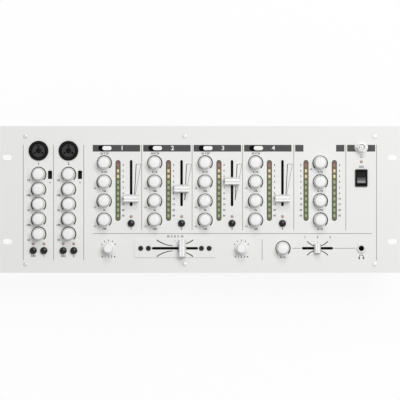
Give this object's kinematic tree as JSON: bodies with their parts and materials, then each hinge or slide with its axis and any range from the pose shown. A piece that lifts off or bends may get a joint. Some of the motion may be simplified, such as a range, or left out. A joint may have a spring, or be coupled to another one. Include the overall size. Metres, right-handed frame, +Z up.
{
  "type": "dj mixer",
  "caption": "Rack-mount DJ mixer with microphone strips, channel strips with meters and faders, a master strip and a crossfader, on a flat panel over a folded chassis.",
  "frame": {"origin": "under the middle of the panel, on the underside of the chassis", "axes": "+X to the right of the panel, +Y towards its rear edge, +Z up out of the panel"},
  "size_m": [0.4826, 0.177, 0.1019],
  "materials": {
    "panel": "satin",
    "chassis": "satin",
    "board": "matte",
    "lens": "gloss",
    "black_plastic": "satin",
    "cap": "satin",
    "plated_metal": "gloss",
    "print": "matte"
  },
  "bodies": {
    "mixer": {"front_panel": "panel", "chassis": "chassis", "crossfader_plate": "panel", "control_board": "board", "indicator_lights": "lens", "sockets": "black_plastic"},
    "crossfader": {"crossfader": "cap"},
    "phones_mix_fader": {"phones_mix_fader": "cap"},
    "ch1_fader": {"ch1_fader": "cap"},
    "ch2_fader": {"ch2_fader": "cap"},
    "ch3_fader": {"ch3_fader": "cap"},
    "ch4_fader": {"ch4_fader": "cap"},
    "power_rocker": {"power_rocker": "black_plastic"},
    "ch1_source_switch": {"ch1_source_switch": "cap"},
    "ch2_source_switch": {"ch2_source_switch": "cap"},
    "ch3_source_switch": {"ch3_source_switch": "cap"},
    "ch4_source_switch": {"ch4_source_switch": "cap"},
    "mic1_mode_switch": {"mic1_mode_switch": "black_plastic"},
    "mic2_mode_switch": {"mic2_mode_switch": "black_plastic"},
    "mic1_on_button": {"mic1_on_button": "black_plastic"},
    "mic1_cue_button": {"mic1_cue_button": "black_plastic"},
    "mic2_on_button": {"mic2_on_button": "black_plastic"},
    "mic2_cue_button": {"mic2_cue_button": "black_plastic"},
    "ch1_cue_button": {"ch1_cue_button": "black_plastic"},
    "ch2_cue_button": {"ch2_cue_button": "black_plastic"},
    "ch3_cue_button": {"ch3_cue_button": "black_plastic"},
    "ch4_cue_button": {"ch4_cue_button": "black_plastic"},
    "crossfader_assign_a_knob": {"crossfader_assign_a_knob": "cap"},
    "crossfader_assign_b_knob": {"crossfader_assign_b_knob": "cap"},
    "mic1_gain_knob": {"mic1_gain_knob": "cap"},
    "mic1_high_knob": {"mic1_high_knob": "cap"},
    "mic1_mid_knob": {"mic1_mid_knob": "cap"},
    "mic1_low_knob": {"mic1_low_knob": "cap"},
    "mic1_level_knob": {"mic1_level_knob": "cap"},
    "mic2_gain_knob": {"mic2_gain_knob": "cap"},
    "mic2_high_knob": {"mic2_high_knob": "cap"},
    "mic2_mid_knob": {"mic2_mid_knob": "cap"},
    "mic2_low_knob": {"mic2_low_knob": "cap"},
    "mic2_level_knob": {"mic2_level_knob": "cap"},
    "ch1_gain_knob": {"ch1_gain_knob": "cap"},
    "ch1_high_knob": {"ch1_high_knob": "cap"},
    "ch1_mid_knob": {"ch1_mid_knob": "cap"},
    "ch1_low_knob": {"ch1_low_knob": "cap"},
    "ch2_gain_knob": {"ch2_gain_knob": "cap"},
    "ch2_high_knob": {"ch2_high_knob": "cap"},
    "ch2_mid_knob": {"ch2_mid_knob": "cap"},
    "ch2_low_knob": {"ch2_low_knob": "cap"},
    "ch3_gain_knob": {"ch3_gain_knob": "cap"},
    "ch3_high_knob": {"ch3_high_knob": "cap"},
    "ch3_mid_knob": {"ch3_mid_knob": "cap"},
    "ch3_low_knob": {"ch3_low_knob": "cap"},
    "ch4_gain_knob": {"ch4_gain_knob": "cap"},
    "ch4_high_knob": {"ch4_high_knob": "cap"},
    "ch4_mid_knob": {"ch4_mid_knob": "cap"},
    "ch4_low_knob": {"ch4_low_knob": "cap"},
    "master_balance_knob": {"master_balance_knob": "cap"},
    "master_zone_knob": {"master_zone_knob": "cap"},
    "master_booth_knob": {"master_booth_knob": "cap"},
    "master_level_knob": {"master_level_knob": "cap"},
    "phones_level_knob": {"phones_level_knob": "cap"}
  },
  "joints": [
    {"name": "crossfader_joint", "type": "slide", "parent": "mixer", "child": "crossfader", "axis": [1, 0, 0], "range_m": [-0.0315, 0.0135]},
    {"name": "phones_mix_fader_joint", "type": "slide", "parent": "mixer", "child": "phones_mix_fader", "axis": [1, 0, 0], "range_m": [-0.0135, 0.0135]},
    {"name": "ch1_fader_joint", "type": "slide", "parent": "mixer", "child": "ch1_fader", "axis": [0, 1, 0], "range_m": [-0.0041, 0.0409]},
    {"name": "ch2_fader_joint", "type": "slide", "parent": "mixer", "child": "ch2_fader", "axis": [0, 1, 0], "range_m": [-0.0159, 0.0291]},
    {"name": "ch3_fader_joint", "type": "slide", "parent": "mixer", "child": "ch3_fader", "axis": [0, 1, 0], "range_m": [-0.0249, 0.0201]},
    {"name": "ch4_fader_joint", "type": "slide", "parent": "mixer", "child": "ch4_fader", "axis": [0, 1, 0], "range_m": [-0.0042, 0.0408]},
    {"name": "power_rocker_joint", "type": "hinge", "parent": "mixer", "child": "power_rocker", "pos_m": [0.1946, 0.0259, 0.0858], "axis": [1, 0, 0], "range_deg": [0, 20]},
    {"name": "ch1_source_switch_joint", "type": "slide", "parent": "mixer", "child": "ch1_source_switch", "axis": [-1, 0, 0], "range_m": [0, 0.005]},
    {"name": "ch2_source_switch_joint", "type": "slide", "parent": "mixer", "child": "ch2_source_switch", "axis": [-1, 0, 0], "range_m": [0, 0.005]},
    {"name": "ch3_source_switch_joint", "type": "slide", "parent": "mixer", "child": "ch3_source_switch", "axis": [-1, 0, 0], "range_m": [0, 0.005]},
    {"name": "ch4_source_switch_joint", "type": "slide", "parent": "mixer", "child": "ch4_source_switch", "axis": [-1, 0, 0], "range_m": [0, 0.005]},
    {"name": "mic1_mode_switch_joint", "type": "slide", "parent": "mixer", "child": "mic1_mode_switch", "axis": [0, 1, 0], "range_m": [0, 0.0036]},
    {"name": "mic2_mode_switch_joint", "type": "slide", "parent": "mixer", "child": "mic2_mode_switch", "axis": [0, 1, 0], "range_m": [0, 0.0036]},
    {"name": "mic1_on_button_joint", "type": "slide", "parent": "mixer", "child": "mic1_on_button", "axis": [0, 0, -1], "range_m": [0, 0.0025], "stiffness_N_per_m": 300},
    {"name": "mic1_cue_button_joint", "type": "slide", "parent": "mixer", "child": "mic1_cue_button", "axis": [0, 0, -1], "range_m": [0, 0.0025], "stiffness_N_per_m": 300},
    {"name": "mic2_on_button_joint", "type": "slide", "parent": "mixer", "child": "mic2_on_button", "axis": [0, 0, -1], "range_m": [0, 0.0025], "stiffness_N_per_m": 300},
    {"name": "mic2_cue_button_joint", "type": "slide", "parent": "mixer", "child": "mic2_cue_button", "axis": [0, 0, -1], "range_m": [0, 0.0025], "stiffness_N_per_m": 300},
    {"name": "ch1_cue_button_joint", "type": "slide", "parent": "mixer", "child": "ch1_cue_button", "axis": [0, 0, -1], "range_m": [0, 0.0025], "stiffness_N_per_m": 300},
    {"name": "ch2_cue_button_joint", "type": "slide", "parent": "mixer", "child": "ch2_cue_button", "axis": [0, 0, -1], "range_m": [0, 0.0025], "stiffness_N_per_m": 300},
    {"name": "ch3_cue_button_joint", "type": "slide", "parent": "mixer", "child": "ch3_cue_button", "axis": [0, 0, -1], "range_m": [0, 0.0025], "stiffness_N_per_m": 300},
    {"name": "ch4_cue_button_joint", "type": "slide", "parent": "mixer", "child": "ch4_cue_button", "axis": [0, 0, -1], "range_m": [0, 0.0025], "stiffness_N_per_m": 300},
    {"name": "crossfader_assign_a_knob_joint", "type": "hinge", "parent": "mixer", "child": "crossfader_assign_a_knob", "pos_m": [-0.1104, -0.0589, 0.087], "axis": [0, 0, 1], "range_deg": [-60, 60]},
    {"name": "crossfader_assign_b_knob_joint", "type": "hinge", "parent": "mixer", "child": "crossfader_assign_b_knob", "pos_m": [0.05, -0.0589, 0.087], "axis": [0, 0, 1], "range_deg": [-60, 60]},
    {"name": "mic1_gain_knob_joint", "type": "hinge", "parent": "mixer", "child": "mic1_gain_knob", "pos_m": [-0.1948, 0.0303, 0.087], "axis": [0, 0, 1], "range_deg": [-140, 140]},
    {"name": "mic1_high_knob_joint", "type": "hinge", "parent": "mixer", "child": "mic1_high_knob", "pos_m": [-0.1948, 0.0123, 0.087], "axis": [0, 0, 1], "range_deg": [-140, 140]},
    {"name": "mic1_mid_knob_joint", "type": "hinge", "parent": "mixer", "child": "mic1_mid_knob", "pos_m": [-0.1948, -0.0057, 0.087], "axis": [0, 0, 1], "range_deg": [-140, 140]},
    {"name": "mic1_low_knob_joint", "type": "hinge", "parent": "mixer", "child": "mic1_low_knob", "pos_m": [-0.1948, -0.0237, 0.087], "axis": [0, 0, 1], "range_deg": [-140, 140]},
    {"name": "mic1_level_knob_joint", "type": "hinge", "parent": "mixer", "child": "mic1_level_knob", "pos_m": [-0.1948, -0.0417, 0.087], "axis": [0, 0, 1], "range_deg": [-140, 140]},
    {"name": "mic2_gain_knob_joint", "type": "hinge", "parent": "mixer", "child": "mic2_gain_knob", "pos_m": [-0.1587, 0.0303, 0.087], "axis": [0, 0, 1], "range_deg": [-140, 140]},
    {"name": "mic2_high_knob_joint", "type": "hinge", "parent": "mixer", "child": "mic2_high_knob", "pos_m": [-0.1587, 0.0123, 0.087], "axis": [0, 0, 1], "range_deg": [-140, 140]},
    {"name": "mic2_mid_knob_joint", "type": "hinge", "parent": "mixer", "child": "mic2_mid_knob", "pos_m": [-0.1587, -0.0057, 0.087], "axis": [0, 0, 1], "range_deg": [-140, 140]},
    {"name": "mic2_low_knob_joint", "type": "hinge", "parent": "mixer", "child": "mic2_low_knob", "pos_m": [-0.1587, -0.0237, 0.087], "axis": [0, 0, 1], "range_deg": [-140, 140]},
    {"name": "mic2_level_knob_joint", "type": "hinge", "parent": "mixer", "child": "mic2_level_knob", "pos_m": [-0.1587, -0.0417, 0.087], "axis": [0, 0, 1], "range_deg": [-140, 140]},
    {"name": "ch1_gain_knob_joint", "type": "hinge", "parent": "mixer", "child": "ch1_gain_knob", "pos_m": [-0.1157, 0.04421, 0.087], "axis": [0, 0, 1], "range_deg": [-140, 140]},
    {"name": "ch1_high_knob_joint", "type": "hinge", "parent": "mixer", "child": "ch1_high_knob", "pos_m": [-0.1157, 0.02124, 0.087], "axis": [0, 0, 1], "range_deg": [-140, 140]},
    {"name": "ch1_mid_knob_joint", "type": "hinge", "parent": "mixer", "child": "ch1_mid_knob", "pos_m": [-0.1157, -0.00173, 0.087], "axis": [0, 0, 1], "range_deg": [-140, 140]},
    {"name": "ch1_low_knob_joint", "type": "hinge", "parent": "mixer", "child": "ch1_low_knob", "pos_m": [-0.1157, -0.02471, 0.087], "axis": [0, 0, 1], "range_deg": [-140, 140]},
    {"name": "ch2_gain_knob_joint", "type": "hinge", "parent": "mixer", "child": "ch2_gain_knob", "pos_m": [-0.05483, 0.04421, 0.087], "axis": [0, 0, 1], "range_deg": [-140, 140]},
    {"name": "ch2_high_knob_joint", "type": "hinge", "parent": "mixer", "child": "ch2_high_knob", "pos_m": [-0.05483, 0.02124, 0.087], "axis": [0, 0, 1], "range_deg": [-140, 140]},
    {"name": "ch2_mid_knob_joint", "type": "hinge", "parent": "mixer", "child": "ch2_mid_knob", "pos_m": [-0.05483, -0.00173, 0.087], "axis": [0, 0, 1], "range_deg": [-140, 140]},
    {"name": "ch2_low_knob_joint", "type": "hinge", "parent": "mixer", "child": "ch2_low_knob", "pos_m": [-0.05483, -0.02471, 0.087], "axis": [0, 0, 1], "range_deg": [-140, 140]},
    {"name": "ch3_gain_knob_joint", "type": "hinge", "parent": "mixer", "child": "ch3_gain_knob", "pos_m": [0.00604, 0.04421, 0.087], "axis": [0, 0, 1], "range_deg": [-140, 140]},
    {"name": "ch3_high_knob_joint", "type": "hinge", "parent": "mixer", "child": "ch3_high_knob", "pos_m": [0.00604, 0.02124, 0.087], "axis": [0, 0, 1], "range_deg": [-140, 140]},
    {"name": "ch3_mid_knob_joint", "type": "hinge", "parent": "mixer", "child": "ch3_mid_knob", "pos_m": [0.00604, -0.00173, 0.087], "axis": [0, 0, 1], "range_deg": [-140, 140]},
    {"name": "ch3_low_knob_joint", "type": "hinge", "parent": "mixer", "child": "ch3_low_knob", "pos_m": [0.00604, -0.02471, 0.087], "axis": [0, 0, 1], "range_deg": [-140, 140]},
    {"name": "ch4_gain_knob_joint", "type": "hinge", "parent": "mixer", "child": "ch4_gain_knob", "pos_m": [0.06691, 0.04421, 0.087], "axis": [0, 0, 1], "range_deg": [-140, 140]},
    {"name": "ch4_high_knob_joint", "type": "hinge", "parent": "mixer", "child": "ch4_high_knob", "pos_m": [0.06691, 0.02124, 0.087], "axis": [0, 0, 1], "range_deg": [-140, 140]},
    {"name": "ch4_mid_knob_joint", "type": "hinge", "parent": "mixer", "child": "ch4_mid_knob", "pos_m": [0.06691, -0.00173, 0.087], "axis": [0, 0, 1], "range_deg": [-140, 140]},
    {"name": "ch4_low_knob_joint", "type": "hinge", "parent": "mixer", "child": "ch4_low_knob", "pos_m": [0.06691, -0.02471, 0.087], "axis": [0, 0, 1], "range_deg": [-140, 140]},
    {"name": "master_balance_knob_joint", "type": "hinge", "parent": "mixer", "child": "master_balance_knob", "pos_m": [0.145, 0.04421, 0.087], "axis": [0, 0, 1], "range_deg": [-140, 140]},
    {"name": "master_zone_knob_joint", "type": "hinge", "parent": "mixer", "child": "master_zone_knob", "pos_m": [0.145, 0.02124, 0.087], "axis": [0, 0, 1], "range_deg": [-140, 140]},
    {"name": "master_booth_knob_joint", "type": "hinge", "parent": "mixer", "child": "master_booth_knob", "pos_m": [0.145, -0.00173, 0.087], "axis": [0, 0, 1], "range_deg": [-140, 140]},
    {"name": "master_level_knob_joint", "type": "hinge", "parent": "mixer", "child": "master_level_knob", "pos_m": [0.145, -0.02471, 0.087], "axis": [0, 0, 1], "range_deg": [-140, 140]},
    {"name": "phones_level_knob_joint", "type": "hinge", "parent": "mixer", "child": "phones_level_knob", "pos_m": [0.0999, -0.0589, 0.087], "axis": [0, 0, 1], "range_deg": [-140, 140]}
  ]
}
